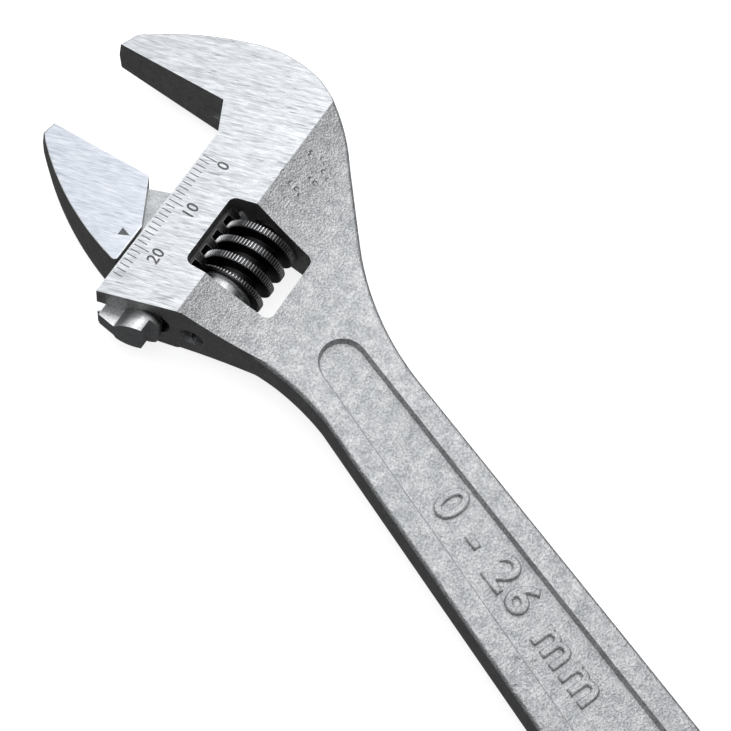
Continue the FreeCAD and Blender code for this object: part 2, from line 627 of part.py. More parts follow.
def make_worm():
    """Worm: threaded core with a collar and a plain hub at its lower end."""
    body = new_body("worm")
    thread = new_sketch(body, "thread", "XY_Plane")
    centre = "(Dims.crest_at - 5 * Dims.lead / 4)"
    crest = "Dims.crest_width / 2"
    foot = "(%s + (Dims.worm_radius - Dims.root_radius + 0.3) * tan(Dims.flank * 1 deg))" % crest
    draw_loop(thread, [
        ("%s - %s" % (centre, crest), "Dims.worm_y + Dims.worm_radius"),
        ("%s - %s" % (centre, foot), "Dims.worm_y + Dims.root_radius - 0.3"),
        ("%s + %s" % (centre, foot), "Dims.worm_y + Dims.root_radius - 0.3"),
        ("%s + %s" % (centre, crest), "Dims.worm_y + Dims.worm_radius"),
    ])
    add_helix(body, "thread_helix", thread, "pitch-turns-angle", Pitch="Dims.lead", Turns="Dims.thread_turns")

    trims = (("upper_trim", "Dims.thread_start", False), ("lower_trim", "Dims.thread_end", True))
    for name, where, back in trims:
        trim = new_sketch(body, name, "YZ_Plane", where)
        draw_circle(trim, "Dims.worm_y", "0", "2 * Dims.worm_radius")
        add_feature(body, "Pocket", name + "_cut", trim, Length=FAR, Reversed=back)

    core = new_sketch(body, "core", "YZ_Plane", "Dims.worm_top")
    draw_circle(core, "Dims.worm_y", "0", "Dims.root_radius")
    add_feature(body, "Pad", "core_pad", core, Length="Dims.worm_low - Dims.worm_top")

    hub = new_sketch(body, "hub", "YZ_Plane", "Dims.thread_end")
    draw_circle(hub, "Dims.worm_y", "0", "Dims.hub_radius")
    add_feature(body, "Pad", "hub_pad", hub, Length="Dims.worm_low - Dims.thread_end")
    collar = new_sketch(body, "collar", "YZ_Plane", "Dims.thread_end")
    draw_circle(collar, "Dims.worm_y", "0", "Dims.collar_radius")
    add_feature(body, "Pad", "collar_pad", collar, Length="Dims.collar")

    bore = new_sketch(body, "worm_bore", "YZ_Plane")
    draw_circle(bore, "Dims.worm_y", "0", "Dims.pin_radius + Dims.pin_gap")
    add_feature(body, "Pocket", "worm_bore_cut", bore, SideType="Symmetric", Length=FAR)
    room = new_sketch(body, "spring_room", "YZ_Plane", "Dims.spring_floor")
    draw_circle(room, "Dims.worm_y", "0", "Dims.spring_room")
    add_feature(body, "Pocket", "spring_room_cut", room, Length=FAR)
    return body


def make_pin():
    """Pin that carries the worm, with a slotted head below the window."""
    body = new_body("worm_pin")
    shank = new_sketch(body, "shank", "YZ_Plane", "Dims.pin_top")
    draw_circle(shank, "Dims.worm_y", "0", "Dims.pin_radius")
    add_feature(body, "Pad", "shank_pad", shank, Length="Dims.pin_head_to - Dims.pin_top")
    head = new_sketch(body, "pin_head", "YZ_Plane", "Dims.pin_head_from")
    draw_circle(head, "Dims.worm_y", "0", "Dims.pin_head_radius")
    add_feature(body, "Pad", "pin_head_pad", head, Length="Dims.pin_head_to - Dims.pin_head_from")
    slot = new_sketch(body, "driver_slot", "XY_Plane")
    low, high = "Dims.pin_head_to - Dims.pin_slot_depth", "Dims.pin_head_to + 1"
    draw_loop(slot, [
        (low, "Dims.worm_y - Dims.pin_slot / 2"),
        (high, "Dims.worm_y - Dims.pin_slot / 2"),
        (high, "Dims.worm_y + Dims.pin_slot / 2"),
        (low, "Dims.worm_y + Dims.pin_slot / 2"),
    ])
    add_feature(body, "Pocket", "driver_slot_cut", slot, SideType="Symmetric", Length=FAR)
    return body


def make_spring():
    """Small compression spring that keeps the worm from turning by itself."""
    body = new_body("tension_spring")
    wire = new_sketch(body, "wire", "XY_Plane")
    draw_circle(wire, "Dims.seat_x + Dims.spring_wire", "Dims.worm_y + Dims.spring_radius",
                "Dims.spring_wire")
    add_helix(body, "coil", wire, "height-turns-angle", Turns="Dims.spring_turns",
              Height="Dims.spring_floor - Dims.seat_x - 2 * Dims.spring_wire - Dims.spring_gap")
    return body


pieces = [make_frame(), make_jaw(), make_worm(), make_pin(), make_spring()]
placement = shared_placement()
for piece in pieces:
    piece.Placement = placement
doc.recompute()

for item in doc.Objects:
    if "Invalid" in item.State or "Error" in item.State:
        raise RuntimeError("%s did not recompute" % item.Name)
os.makedirs("parts", exist_ok=True)
for piece in pieces:
    shape = piece.Shape
    if shape.isNull() or not shape.isValid() or len(shape.Solids) != 1:
        raise RuntimeError("%s is not one valid solid" % piece.Label)
for piece in pieces:
    piece.Shape.exportStep("parts/%s.step" % piece.Label)
    box = piece.Shape.BoundBox
    print("%s %.1f mm3, box %.2f..%.2f %.2f..%.2f %.2f..%.2f" % (
        piece.Label, piece.Shape.Volume, box.XMin, box.XMax, box.YMin, box.YMax, box.ZMin, box.ZMax))
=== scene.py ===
"""Adjustable wrench: finishes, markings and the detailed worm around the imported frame."""

import json
import math

import bmesh
import bpy
from mathutils import Matrix, Vector


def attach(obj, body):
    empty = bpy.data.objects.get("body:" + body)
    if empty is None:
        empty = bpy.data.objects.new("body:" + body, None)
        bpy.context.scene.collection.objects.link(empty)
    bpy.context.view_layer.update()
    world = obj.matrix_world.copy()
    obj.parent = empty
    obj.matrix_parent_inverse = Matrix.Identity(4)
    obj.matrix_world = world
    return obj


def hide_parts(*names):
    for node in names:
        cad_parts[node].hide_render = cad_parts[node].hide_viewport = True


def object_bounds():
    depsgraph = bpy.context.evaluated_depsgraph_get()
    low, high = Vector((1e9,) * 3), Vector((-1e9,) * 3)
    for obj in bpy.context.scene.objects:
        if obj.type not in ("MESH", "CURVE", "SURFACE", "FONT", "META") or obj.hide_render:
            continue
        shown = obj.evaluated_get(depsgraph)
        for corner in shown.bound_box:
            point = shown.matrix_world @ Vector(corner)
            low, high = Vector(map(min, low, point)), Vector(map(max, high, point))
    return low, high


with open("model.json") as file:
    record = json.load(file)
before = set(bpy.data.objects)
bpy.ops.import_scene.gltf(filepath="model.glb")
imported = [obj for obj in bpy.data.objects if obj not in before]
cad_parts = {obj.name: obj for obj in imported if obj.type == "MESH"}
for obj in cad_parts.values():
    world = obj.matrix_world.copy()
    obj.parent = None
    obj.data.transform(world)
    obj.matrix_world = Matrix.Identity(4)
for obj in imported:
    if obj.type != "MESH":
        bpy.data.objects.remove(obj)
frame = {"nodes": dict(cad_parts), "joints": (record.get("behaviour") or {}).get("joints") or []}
CAD_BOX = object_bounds()

MM = 0.001
SLIDE = Vector(next(j for j in frame["joints"] if j["name"] == "jaw_slide")["axis"]).normalized()
INWARD = Vector((-SLIDE.y, SLIDE.x, 0.0))
ZERO = Vector((164.732, -1.055, 0.0)) * MM

# Head measures in millimetres: along the slide, from the slide edge, above mid thickness.
EDGE_HEIGHT = 6.0
FACE_RISE = math.tan(math.radians(5.48))
RIDGE = 12.9
WORM_ACROSS = 15.8
PANEL_FLOOR = 2.15


def head_matrix():
    """Head measures to the frame of the model, in metres."""
    turn = Matrix((SLIDE, INWARD, Vector((0, 0, 1)))).transposed().to_4x4()
    return Matrix.Translation(ZERO) @ turn @ Matrix.Scale(MM, 4)


HEAD = head_matrix()


def on_face(along, across, lift=0.0):
    """Point on the ground face, in head measures."""
    return Vector((along, across, EDGE_HEIGHT + FACE_RISE * across + lift))


# ---------------------------------------------------------------- shader groups


def new_group(name, inputs, outputs):
    """Empty node group with named sockets, and its entry and exit nodes."""
    group = bpy.data.node_groups.new(name, "ShaderNodeTree")
    for label, kind, default in inputs:
        socket = group.interface.new_socket(label, in_out="INPUT", socket_type=kind)
        if default is not None:
            socket.default_value = default
    for label, kind in outputs:
        group.interface.new_socket(label, in_out="OUTPUT", socket_type=kind)
    return group, group.nodes.new("NodeGroupInput"), group.nodes.new("NodeGroupOutput")


def node(tree, kind, links=(), **settings):
    """Adds a node, sets its values and links (input, source socket) pairs."""
    made = tree.nodes.new(kind)
    for key, setting in settings.items():
        if key.startswith("in_"):
            made.inputs[int(key[3:])].default_value = setting
        else:
            setattr(made, key, setting)
    for target, source in links:
        tree.links.new(source, made.inputs[target])
    return made


def math_node(tree, operation, first, second=0.0):
    made = node(tree, "ShaderNodeMath", operation=operation)
    for index, entry in enumerate((first, second)):
        if isinstance(entry, (int, float)):
            made.inputs[index].default_value = entry
        else:
            tree.links.new(entry, made.inputs[index])
    return made.outputs[0]


def ramp(tree, source, low, high, out_low=0.0, out_high=1.0):
    """Maps low..high to out_low..out_high and holds the ends."""
    made = node(tree, "ShaderNodeMapRange", [(0, source)],
                in_1=low, in_2=high, in_3=out_low, in_4=out_high)
    return made.outputs[0]


def head_position_group():
    """Millimetres along the slide, from the slide edge and above mid thickness."""
    group, entry, leave = new_group(
        "head position", [("Position", "NodeSocketVector", None)],
        [("Place", "NodeSocketVector"), ("Along", "NodeSocketFloat"),
         ("Across", "NodeSocketFloat"), ("Up", "NodeSocketFloat")])
    shift = node(group, "ShaderNodeVectorMath", [(0, entry.outputs[0])], operation="SUBTRACT")
    shift.inputs[1].default_value = ZERO
    parts = []
    for axis in (SLIDE, INWARD, Vector((0, 0, 1))):
        dot = node(group, "ShaderNodeVectorMath", [(0, shift.outputs[0])], operation="DOT_PRODUCT")
        dot.inputs[1].default_value = axis / MM
        parts.append(dot.outputs["Value"])
    joined = node(group, "ShaderNodeCombineXYZ", list(enumerate(parts)))
    group.links.new(joined.outputs[0], leave.inputs[0])
    for index, part in enumerate(parts):
        group.links.new(part, leave.inputs[index + 1])
    return group


def ground_grain_group():
    """Long fine grinding lines, a few deeper ones and a soft uneven sheen."""
    group, entry, leave = new_group(
        "ground grain",
        [("Place", "NodeSocketVector", None), ("Turn", "NodeSocketFloat", 0.0)],
        [("Height", "NodeSocketFloat"), ("Shade", "NodeSocketFloat")])
    turned = node(group, "ShaderNodeVectorRotate", [(0, entry.outputs[0]), (3, entry.outputs[1])],
                  rotation_type="Z_AXIS")
    layers = []
    for stretch, detail in (((0.10, 5.5, 5.5), 4.0), ((0.05, 1.9, 1.9), 3.0), ((0.16, 2.6, 2.6), 2.0)):
        mapped = node(group, "ShaderNodeMapping", [(0, turned.outputs[0])])
        mapped.inputs["Scale"].default_value = stretch
        noise = node(group, "ShaderNodeTexNoise", [(0, mapped.outputs[0])])
        noise.inputs["Scale"].default_value = 1.0
        noise.inputs["Detail"].default_value = detail
        layers.append(noise.outputs[0])
    fine = ramp(group, layers[0], 0.32, 0.68)
    broad = ramp(group, layers[1], 0.3, 0.7)
    scores = ramp(group, layers[2], 0.64, 0.72)
    mixed = math_node(group, "MULTIPLY_ADD", fine, 0.6)
    group.links.new(math_node(group, "MULTIPLY", broad, 0.4), mixed.node.inputs[2])
    height = math_node(group, "SUBTRACT", mixed, math_node(group, "MULTIPLY", scores, 0.5))
    group.links.new(height, leave.inputs[0])
    group.links.new(ramp(group, height, -0.1, 0.9), leave.inputs[1])
    return group


def blasted_skin_group():
    """Shot-blasted forging: fine pitting over a soft mottle, with odd nicks."""
    group, entry, leave = new_group(
        "blasted skin",
        [("Place", "NodeSocketVector", None), ("Pits per mm", "NodeSocketFloat", 2.9)],
        [("Height", "NodeSocketFloat"), ("Shade", "NodeSocketFloat")])
    fine = node(group, "ShaderNodeTexNoise", [("Vector", entry.outputs[0]), ("Scale", entry.outputs[1])])
    fine.inputs["Detail"].default_value = 3.0
    fine.inputs["Roughness"].default_value = 0.6
    mottle = node(group, "ShaderNodeTexNoise", [("Vector", entry.outputs[0])])
    mottle.inputs["Scale"].default_value = 0.45
    mottle.inputs["Detail"].default_value = 4.0
    cells = node(group, "ShaderNodeTexVoronoi", [("Vector", entry.outputs[0])])
    cells.inputs["Scale"].default_value = 0.28
    spots = ramp(group, cells.outputs["Distance"], 0.1, 0.2, 1.0, 0.0)
    rare = node(group, "ShaderNodeTexNoise", [("Vector", entry.outputs[0])])
    rare.inputs["Scale"].default_value = 0.12
    nicks = math_node(group, "MULTIPLY", spots, ramp(group, rare.outputs[0], 0.56, 0.62))
    relief = math_node(group, "MULTIPLY", ramp(group, fine.outputs[0], 0.3, 0.7), 0.7)
    wave = math_node(group, "MULTIPLY", ramp(group, mottle.outputs[0], 0.3, 0.7), 0.5)
    height = math_node(group, "SUBTRACT", math_node(group, "ADD", relief, wave), nicks)
    group.links.new(height, leave.inputs[0])
    tone = math_node(group, "ADD", relief, math_node(group, "MULTIPLY", wave, 0.7))
    group.links.new(ramp(group, tone, 0.2, 0.9), leave.inputs[1])
    return group


def polished_and_highlit_edge_group():
    """Mask of the outer edges, where handling has polished the metal and where a highlight is painted."""
    group, entry, leave = new_group(
        "worn edge", [("Width", "NodeSocketFloat", 0.0003)], [("Mask", "NodeSocketFloat")])
    softened = node(group, "ShaderNodeBevel", [(0, entry.outputs[0])], samples=4)
    plain = node(group, "ShaderNodeNewGeometry")
    same = node(group, "ShaderNodeVectorMath", [(0, softened.outputs[0]), (1, plain.outputs["Normal"])],
                operation="DOT_PRODUCT")
    group.links.new(ramp(group, same.outputs["Value"], 0.99, 0.9), leave.inputs[0])
    return group


HEAD_POSITION = head_position_group()
GROUND_GRAIN = ground_grain_group()
BLASTED_SKIN = blasted_skin_group()
POLISHED_AND_HIGHLIT_EDGE = polished_and_highlit_edge_group()


def place_group(tree, group, links=(), **values):
    """Puts a group in a material with its own values."""
    made = tree.nodes.new("ShaderNodeGroup")
    made.node_tree = group
    for label, setting in values.items():
        made.inputs[label.replace("_", " ")].default_value = setting
    for target, source in links:
        tree.links.new(source, made.inputs[target])
    return made


def mix_value(tree, mask, low, high):
    made = node(tree, "ShaderNodeMix", [(0, mask)], data_type="FLOAT")
    for index, entry in ((2, low), (3, high)):
        if isinstance(entry, (int, float)):
            made.inputs[index].default_value = entry
        else:
            tree.links.new(entry, made.inputs[index])
    return made.outputs[0]


def mix_colour(tree, mask, low, high):
    made = node(tree, "ShaderNodeMix", [(0, mask)], data_type="RGBA")
    for index, entry in ((6, low), (7, high)):
        if isinstance(entry, tuple):
            made.inputs[index].default_value = (*entry, 1.0)
        else:
            tree.links.new(entry, made.inputs[index])
    return made.outputs[2]


def new_material(name, **values):
    material = bpy.data.materials.new(name)
    material.use_nodes = True
    tree = material.node_tree
    shader = tree.nodes["Principled BSDF"]
    for label, setting in values.items():
        shader.inputs[label.replace("_", " ")].default_value = setting
    return material, tree, shader


def finish_surface(tree, shader, colour, rough, height, depth):
    """Links colour, roughness and relief to the shader."""
    tree.links.new(colour, shader.inputs["Base Color"])
    tree.links.new(rough, shader.inputs["Roughness"])
    bump = node(tree, "ShaderNodeBump", [("Height", height)])
    bump.inputs["Strength"].default_value = 1.0
    bump.inputs["Distance"].default_value = depth
    tree.links.new(bump.outputs[0], shader.inputs["Normal"])


# ---------------------------------------------------------------- materials

# The grinding lines lie across the slide, 16 degrees off square.
GRAIN_TURN = math.radians(-16.0) + math.pi / 2
# Depth of the relief of ground and forged steel, in metres.
RELIEF = 0.00009
# Painted shade on the faces that stand sideways: darker than the forged skin.
SIDE_SHADE_DARK, SIDE_SHADE_LIGHT = (0.52, 0.52, 0.515), (0.80, 0.80, 0.79)
# Colour of the outer edges: polished wear with a painted highlight.
POLISH_AND_HIGHLIGHT_BRIGHT = (0.93, 0.94, 0.96)
# Cluster of small dents in the forged face behind the fixed jaw, in head measures.
BRUISE = Vector((-6.0, 15.5, 6.5))
# Machined end of the slide bar, and half the thickness of the web of the jaw.
BAR_END = 28.0
WEB_HALF = 4.2


def surface_place(tree):
    """Texture coordinates of the surface and its head position."""
    spot = node(tree, "ShaderNodeTexCoord")
    return spot, place_group(tree, HEAD_POSITION, [(0, spot.outputs["Object"])])


def level_mask(tree, spot):
    """1 where the surface faces up or down, 0 where it faces sideways."""
    slope = node(tree, "ShaderNodeSeparateXYZ", [(0, spot.outputs["Normal"])])
    return math_node(tree, "ABSOLUTE", slope.outputs[2])


def frame_steel():
    """Forged frame: ground faces on the head, blasted skin elsewhere, painted shade on the sideways faces.
    """
    material, tree, shader = new_material("forged_frame_steel", Metallic=1.0)
    spot, head = surface_place(tree)
    level = level_mask(tree, spot)
    flat = ramp(tree, level, 0.93, 0.985)
    upright = ramp(tree, level, 0.45, 0.2)
    on_head = ramp(tree, head.outputs["Across"], RIDGE + 0.06, RIDGE - 0.06)
    ground = math_node(tree, "MULTIPLY", flat, on_head)
    grain = place_group(tree, GROUND_GRAIN, [(0, head.outputs[0])], Turn=GRAIN_TURN)
    skin = place_group(tree, BLASTED_SKIN, [(0, head.outputs[0])])
    polished_and_highlit = place_group(tree, POLISHED_AND_HIGHLIT_EDGE)
    ground_colour = mix_colour(tree, grain.outputs["Shade"], (0.36, 0.385, 0.415), (0.95, 0.965, 0.985))
    forged_colour = mix_colour(tree, skin.outputs["Shade"], (0.53, 0.545, 0.56), (0.98, 0.985, 0.99))
    # Painted shade on the sideways faces.
    shaded_side_colour = mix_colour(tree, skin.outputs["Shade"], SIDE_SHADE_DARK, SIDE_SHADE_LIGHT)
    colour = mix_colour(tree, ground, forged_colour, ground_colour)
    colour = mix_colour(tree, upright, colour, shaded_side_colour)
    # Outer edges lightened: polished wear and a painted highlight.
    polish_and_highlight = math_node(tree, "MULTIPLY", polished_and_highlit.outputs[0], 0.35)
    colour = mix_colour(tree, polish_and_highlight, colour, POLISH_AND_HIGHLIGHT_BRIGHT)
    wall = math_node(tree, "MULTIPLY", ramp(tree, level, 0.2, 0.36), ramp(tree, level, 0.8, 0.5))
    forged_rough = mix_value(tree, wall, ramp(tree, skin.outputs["Shade"], 0, 1, 0.52, 0.42), 0.85)
    rough = mix_value(tree, ground, forged_rough, ramp(tree, grain.outputs["Shade"], 0, 1, 0.34, 0.24))
    reach = node(tree, "ShaderNodeVectorMath", [(0, head.outputs[0])], operation="DISTANCE")
    reach.inputs[1].default_value = BRUISE
    scuffs = node(tree, "ShaderNodeTexVoronoi", [("Vector", head.outputs[0])])
    scuffs.inputs["Scale"].default_value = 0.62
    struck = math_node(tree, "MULTIPLY", ramp(tree, scuffs.outputs["Distance"], 0.18, 0.3, 1.0, 0.0),
                       ramp(tree, reach.outputs["Value"], 6.0, 4.0))
    dented = math_node(tree, "SUBTRACT", skin.outputs["Height"], math_node(tree, "MULTIPLY", struck, 2.2))
    lines = math_node(tree, "MULTIPLY", grain.outputs["Height"], 0.2)
    finish_surface(tree, shader, colour, rough, mix_value(tree, ground, dented, lines), RELIEF)
    return material


def jaw_steel():
    """Moving jaw: ground faces, painted shade on the sides, on the web below the face and, near black, on
    the rack.
    """
    material, tree, shader = new_material("ground_jaw_steel", Metallic=1.0)
    spot, head = surface_place(tree)
    level = level_mask(tree, spot)
    flat = ramp(tree, level, 0.9, 0.98)
    grain = place_group(tree, GROUND_GRAIN, [(0, head.outputs[0])], Turn=GRAIN_TURN)
    skin = place_group(tree, BLASTED_SKIN, [(0, head.outputs[0])], Pits_per_mm=3.0)
    polished_and_highlit = place_group(tree, POLISHED_AND_HIGHLIT_EDGE)
    face = mix_colour(tree, grain.outputs["Shade"], (0.48, 0.52, 0.58), (0.90, 0.93, 0.99))
    # Painted shade on the sides of the jaw.
    shaded_side = mix_colour(tree, skin.outputs["Shade"], SIDE_SHADE_DARK, SIDE_SHADE_LIGHT)
    colour = mix_colour(tree, flat, shaded_side, face)
    # Painted shade on the web: the flat faces of the jaw that lie below the level of the ground face.
    web_shade = mix_colour(tree, skin.outputs["Shade"], (0.30, 0.31, 0.315), (0.50, 0.51, 0.52))
    # Near-black painted shade on the rack, where the jaw lies a few millimetres or more across from the
    # slide edge.
    rack_shade = mix_colour(tree, skin.outputs["Shade"], (0.035, 0.035, 0.035), (0.10, 0.10, 0.10))
    tip = mix_colour(tree, skin.outputs["Shade"], (0.60, 0.61, 0.62), (0.95, 0.96, 0.97))
    low = ramp(tree, math_node(tree, "ABSOLUTE", head.outputs["Up"]), WEB_HALF + 0.2, WEB_HALF)
    behind = math_node(tree, "MULTIPLY", low, ramp(tree, head.outputs["Across"], -7.2, -7.0))
    colour = mix_colour(tree, math_node(tree, "MULTIPLY", behind, flat), colour, web_shade)
    colour = mix_colour(tree, ramp(tree, head.outputs["Across"], 1.0, 4.0), colour, rack_shade)
    colour = mix_colour(tree, ramp(tree, head.outputs["Along"], BAR_END, BAR_END + 0.6), colour, tip)
    # Outer edges lightened: polished wear and a painted highlight.
    colour = mix_colour(tree, math_node(tree, "MULTIPLY", polished_and_highlit.outputs[0], 0.4), colour, POLISH_AND_HIGHLIGHT_BRIGHT)
    rough = mix_value(tree, flat, 0.42, ramp(tree, grain.outputs["Shade"], 0, 1, 0.36, 0.27))
    height = mix_value(tree, flat, math_node(tree, "MULTIPLY", skin.outputs["Height"], 0.4),
                       math_node(tree, "MULTIPLY", grain.outputs["Height"], 0.1))
    finish_surface(tree, shader, colour, rough, height, RELIEF)
    return material


def turned_steel(name, dark, light, roughness):
    """Turned steel of the worm, its lands, the pin and the spring."""
    material, tree, shader = new_material(name, Metallic=1.0)
    head = surface_place(tree)[1]
    skin = place_group(tree, BLASTED_SKIN, [(0, head.outputs[0])], Pits_per_mm=3.5)
    polished_and_highlit = place_group(tree, POLISHED_AND_HIGHLIT_EDGE, Width=0.0001)
    colour = mix_colour(tree, skin.outputs["Shade"], dark, light)
    # Outer edges of the turned parts lightened: polished wear and a painted highlight.
    colour = mix_colour(tree, math_node(tree, "MULTIPLY", polished_and_highlit.outputs[0], 0.5), colour, (0.8, 0.8, 0.8))
    rough = ramp(tree, skin.outputs["Shade"], 0, 1, roughness + 0.08, roughness)
    height = math_node(tree, "MULTIPLY", skin.outputs["Height"], 0.3)
    finish_surface(tree, shader, colour, rough, height, RELIEF / 3)
    return material


def etched_mark():
    """Dark etched lines and numerals of the scale."""
    material, tree, shader = new_material("etched_mark", Metallic=0.4)
    head = surface_place(tree)[1]
    skin = place_group(tree, BLASTED_SKIN, [(0, head.outputs[0])], Pits_per_mm=6.0)
    colour = mix_colour(tree, skin.outputs["Shade"], (0.12, 0.12, 0.125), (0.30, 0.30, 0.31))
    rough = ramp(tree, skin.outputs["Shade"], 0, 1, 0.6, 0.45)
    finish_surface(tree, shader, colour, rough, skin.outputs["Height"], 0.00001)
    return material


def floor_white():
    """Pale floor that glows a little, so that only a faint shadow shows."""
    material, tree, shader = new_material("floor_white", Roughness=0.8)
    shader.inputs["Base Color"].default_value = (0.9, 0.9, 0.9, 1)
    shader.inputs["Emission Color"].default_value = (1, 1, 1, 1)
    shader.inputs["Emission Strength"].default_value = 0.82
    return material


FRAME_STEEL = frame_steel()
JAW_STEEL = jaw_steel()
WORM_BLACK = turned_steel("blackened_worm_steel", (0.04, 0.04, 0.042), (0.11, 0.11, 0.115), 0.3)
WORM_LAND = turned_steel("polished_land_steel", (0.55, 0.55, 0.56), (0.85, 0.86, 0.87), 0.25)
PIN_STEEL = turned_steel("pin_steel", (0.14, 0.14, 0.145), (0.3, 0.3, 0.31), 0.32)
SPRING_STEEL = turned_steel("spring_steel", (0.3, 0.3, 0.31), (0.5, 0.5, 0.51), 0.28)
ETCHED = etched_mark()

for name, material in (("frame", FRAME_STEEL), ("moving_jaw", JAW_STEEL),
                       ("worm_pin", PIN_STEEL), ("tension_spring", SPRING_STEEL)):
    part = frame["nodes"][name]
    for slot in part.material_slots:
        slot.material = material
    if not part.material_slots:
        part.data.materials.append(material)

# ---------------------------------------------------------------- pieces


def add_piece(name, mesh, materials, body, matrix):
    """Links a mesh as a piece that rides on a body."""
    piece = bpy.data.objects.new(name, mesh)
    bpy.context.scene.collection.objects.link(piece)
    for material in materials:
        mesh.materials.append(material)
    mesh.transform(matrix)
    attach(piece, body)
    return piece


def finished_data(mesh, name):
    """Closes a bmesh into named mesh data with its faces outward."""
    bmesh.ops.recalc_face_normals(mesh, faces=mesh.faces)
    data = bpy.data.meshes.new(name)
    mesh.to_mesh(data)
    mesh.free()
    return data


# Fine teeth across the land of the thread: four steps each, two high and two low.
TEETH_PER_TURN = 70
STEPS_PER_TOOTH = 4
HIGH_STEPS, LOW_STEPS = (0, 1), (2, 3)
TOOTH_DEPTH = 0.34
# Thread, in head measures. A crest lies at CREST_PHASE where the turn is zero.
LEAD = 3.3
CREST_PHASE = 5.325
CREST_HALF = 0.625
FLANK = math.radians(6.0)
LAND_RADIUS = 6.35
LAND_BEVEL = 0.1
ROOT_SINK = 0.1
THREAD_FROM, THREAD_TO = 4.9, 15.9
# Core, collar, hub and bores of the worm.
CORE_RADIUS = 3.8
COLLAR_RADIUS = 4.8
HUB_RADIUS = 4.45
BORE_RADIUS = 1.56
SPRING_BORE = 2.6
WORM_FROM, WORM_TO = 4.5, 18.1
COLLAR_TO = 16.45
SPRING_SEAT = 7.4
TOP_BREAK = 0.2
EDGE_BREAK = 0.15
WORM_SEGMENTS = 96


def worm_thread(mesh):
    """Helical thread whose land is cut across into fine teeth."""
    foot = CREST_HALF + (LAND_RADIUS - CORE_RADIUS) * math.tan(FLANK)
    root = CORE_RADIUS - ROOT_SINK
    per_turn = TEETH_PER_TURN * STEPS_PER_TOOTH
    first = math.ceil((THREAD_FROM - foot - CREST_PHASE) / LEAD * per_turn)
    last = math.floor((THREAD_TO + foot - CREST_PHASE) / LEAD * per_turn)
    previous = None
    for step in range(first, last + 1):
        angle = 2 * math.pi * step / per_turn
        centre = CREST_PHASE + LEAD * step / per_turn
        top = LAND_RADIUS - (TOOTH_DEPTH if step % STEPS_PER_TOOTH in LOW_STEPS else 0.0)
        profile = [(-foot, root), (-CREST_HALF, top - LAND_BEVEL), (-CREST_HALF + LAND_BEVEL, top),
                   (CREST_HALF - LAND_BEVEL, top), (CREST_HALF, top - LAND_BEVEL), (foot, root)]
        ring = []
        for offset, radius in profile:
            along = min(max(centre + offset, THREAD_FROM), THREAD_TO)
            ring.append(mesh.verts.new((along, WORM_ACROSS + radius * math.cos(angle),
                                        radius * math.sin(angle))))
        if previous:
            for index in range(len(profile)):
                following = (index + 1) % len(profile)
                face = mesh.faces.new((previous[index], previous[following], ring[following], ring[index]))
                on_land = index in (1, 2, 3) and step % STEPS_PER_TOOTH in HIGH_STEPS
                face.material_index = 1 if on_land else 0
        previous = ring


def turned_profile(mesh, profile, bright):
    """Closed outline of (along, radius) points turned about the worm axis."""
    rings = []
    for segment in range(WORM_SEGMENTS):
        angle = 2 * math.pi * segment / WORM_SEGMENTS
        rings.append([mesh.verts.new((along, WORM_ACROSS + radius * math.cos(angle),
                                      radius * math.sin(angle))) for along, radius in profile])
    for segment in range(WORM_SEGMENTS):
        ring, following = rings[segment], rings[(segment + 1) % WORM_SEGMENTS]
        for index in range(len(profile)):
            after = (index + 1) % len(profile)
            face = mesh.faces.new((ring[index], ring[after], following[after], following[index]))
            face.material_index = 1 if index in bright else 0
            face.smooth = True


def worm_piece():
    """Worm with its toothed thread, collar, hub and bores."""
    mesh = bmesh.new()
    worm_thread(mesh)
    core = [(WORM_FROM, SPRING_BORE), (WORM_FROM, CORE_RADIUS - TOP_BREAK),
            (WORM_FROM + TOP_BREAK, CORE_RADIUS), (THREAD_TO, CORE_RADIUS)]
    collar = [(THREAD_TO, COLLAR_RADIUS - EDGE_BREAK), (THREAD_TO + EDGE_BREAK, COLLAR_RADIUS),
              (COLLAR_TO - EDGE_BREAK, COLLAR_RADIUS), (COLLAR_TO, COLLAR_RADIUS - EDGE_BREAK)]
    hub = [(COLLAR_TO, HUB_RADIUS), (WORM_TO - EDGE_BREAK, HUB_RADIUS), (WORM_TO, HUB_RADIUS - EDGE_BREAK)]
    bores = [(WORM_TO, BORE_RADIUS), (SPRING_SEAT, BORE_RADIUS), (SPRING_SEAT, SPRING_BORE)]
    bright = range(len(core), len(core + collar + hub))
    turned_profile(mesh, core + collar + hub + bores, bright)
    bmesh.ops.remove_doubles(mesh, verts=mesh.verts, dist=0.0005)
    bmesh.ops.dissolve_degenerate(mesh, edges=mesh.edges, dist=0.0005)
    data = finished_data(mesh, "worm_detail")
    piece = add_piece("worm_detail", data, [WORM_BLACK, WORM_LAND], "screw", HEAD)
    data.set_sharp_from_angle(angle=math.radians(32))
    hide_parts("worm")


# Etched marks, from just under the ground face to just above it.
MARK_SINK, MARK_RISE = -0.03, 0.008
SCALE_MARKS = 27
MARK_HALF = 0.085
MARK_START = 0.32
MARK_END, TENTH_END = 2.1, 3.1
NUMERAL_SIZE = 2.9
POINTER = [(18.45, -3.0), (20.0, -3.0), (19.1, -1.2)]


def thin_prism(mesh, corners):
    """Thin mark over a corner list on the ground face."""
    lower = [mesh.verts.new(on_face(x, y, MARK_SINK)) for x, y in corners]
    upper = [mesh.verts.new(on_face(x, y, MARK_RISE)) for x, y in corners]
    mesh.faces.new(upper)
    mesh.faces.new(lower[::-1])
    for index in range(len(corners)):
        after = (index + 1) % len(corners)
        mesh.faces.new((lower[index], lower[after], upper[after], upper[index]))


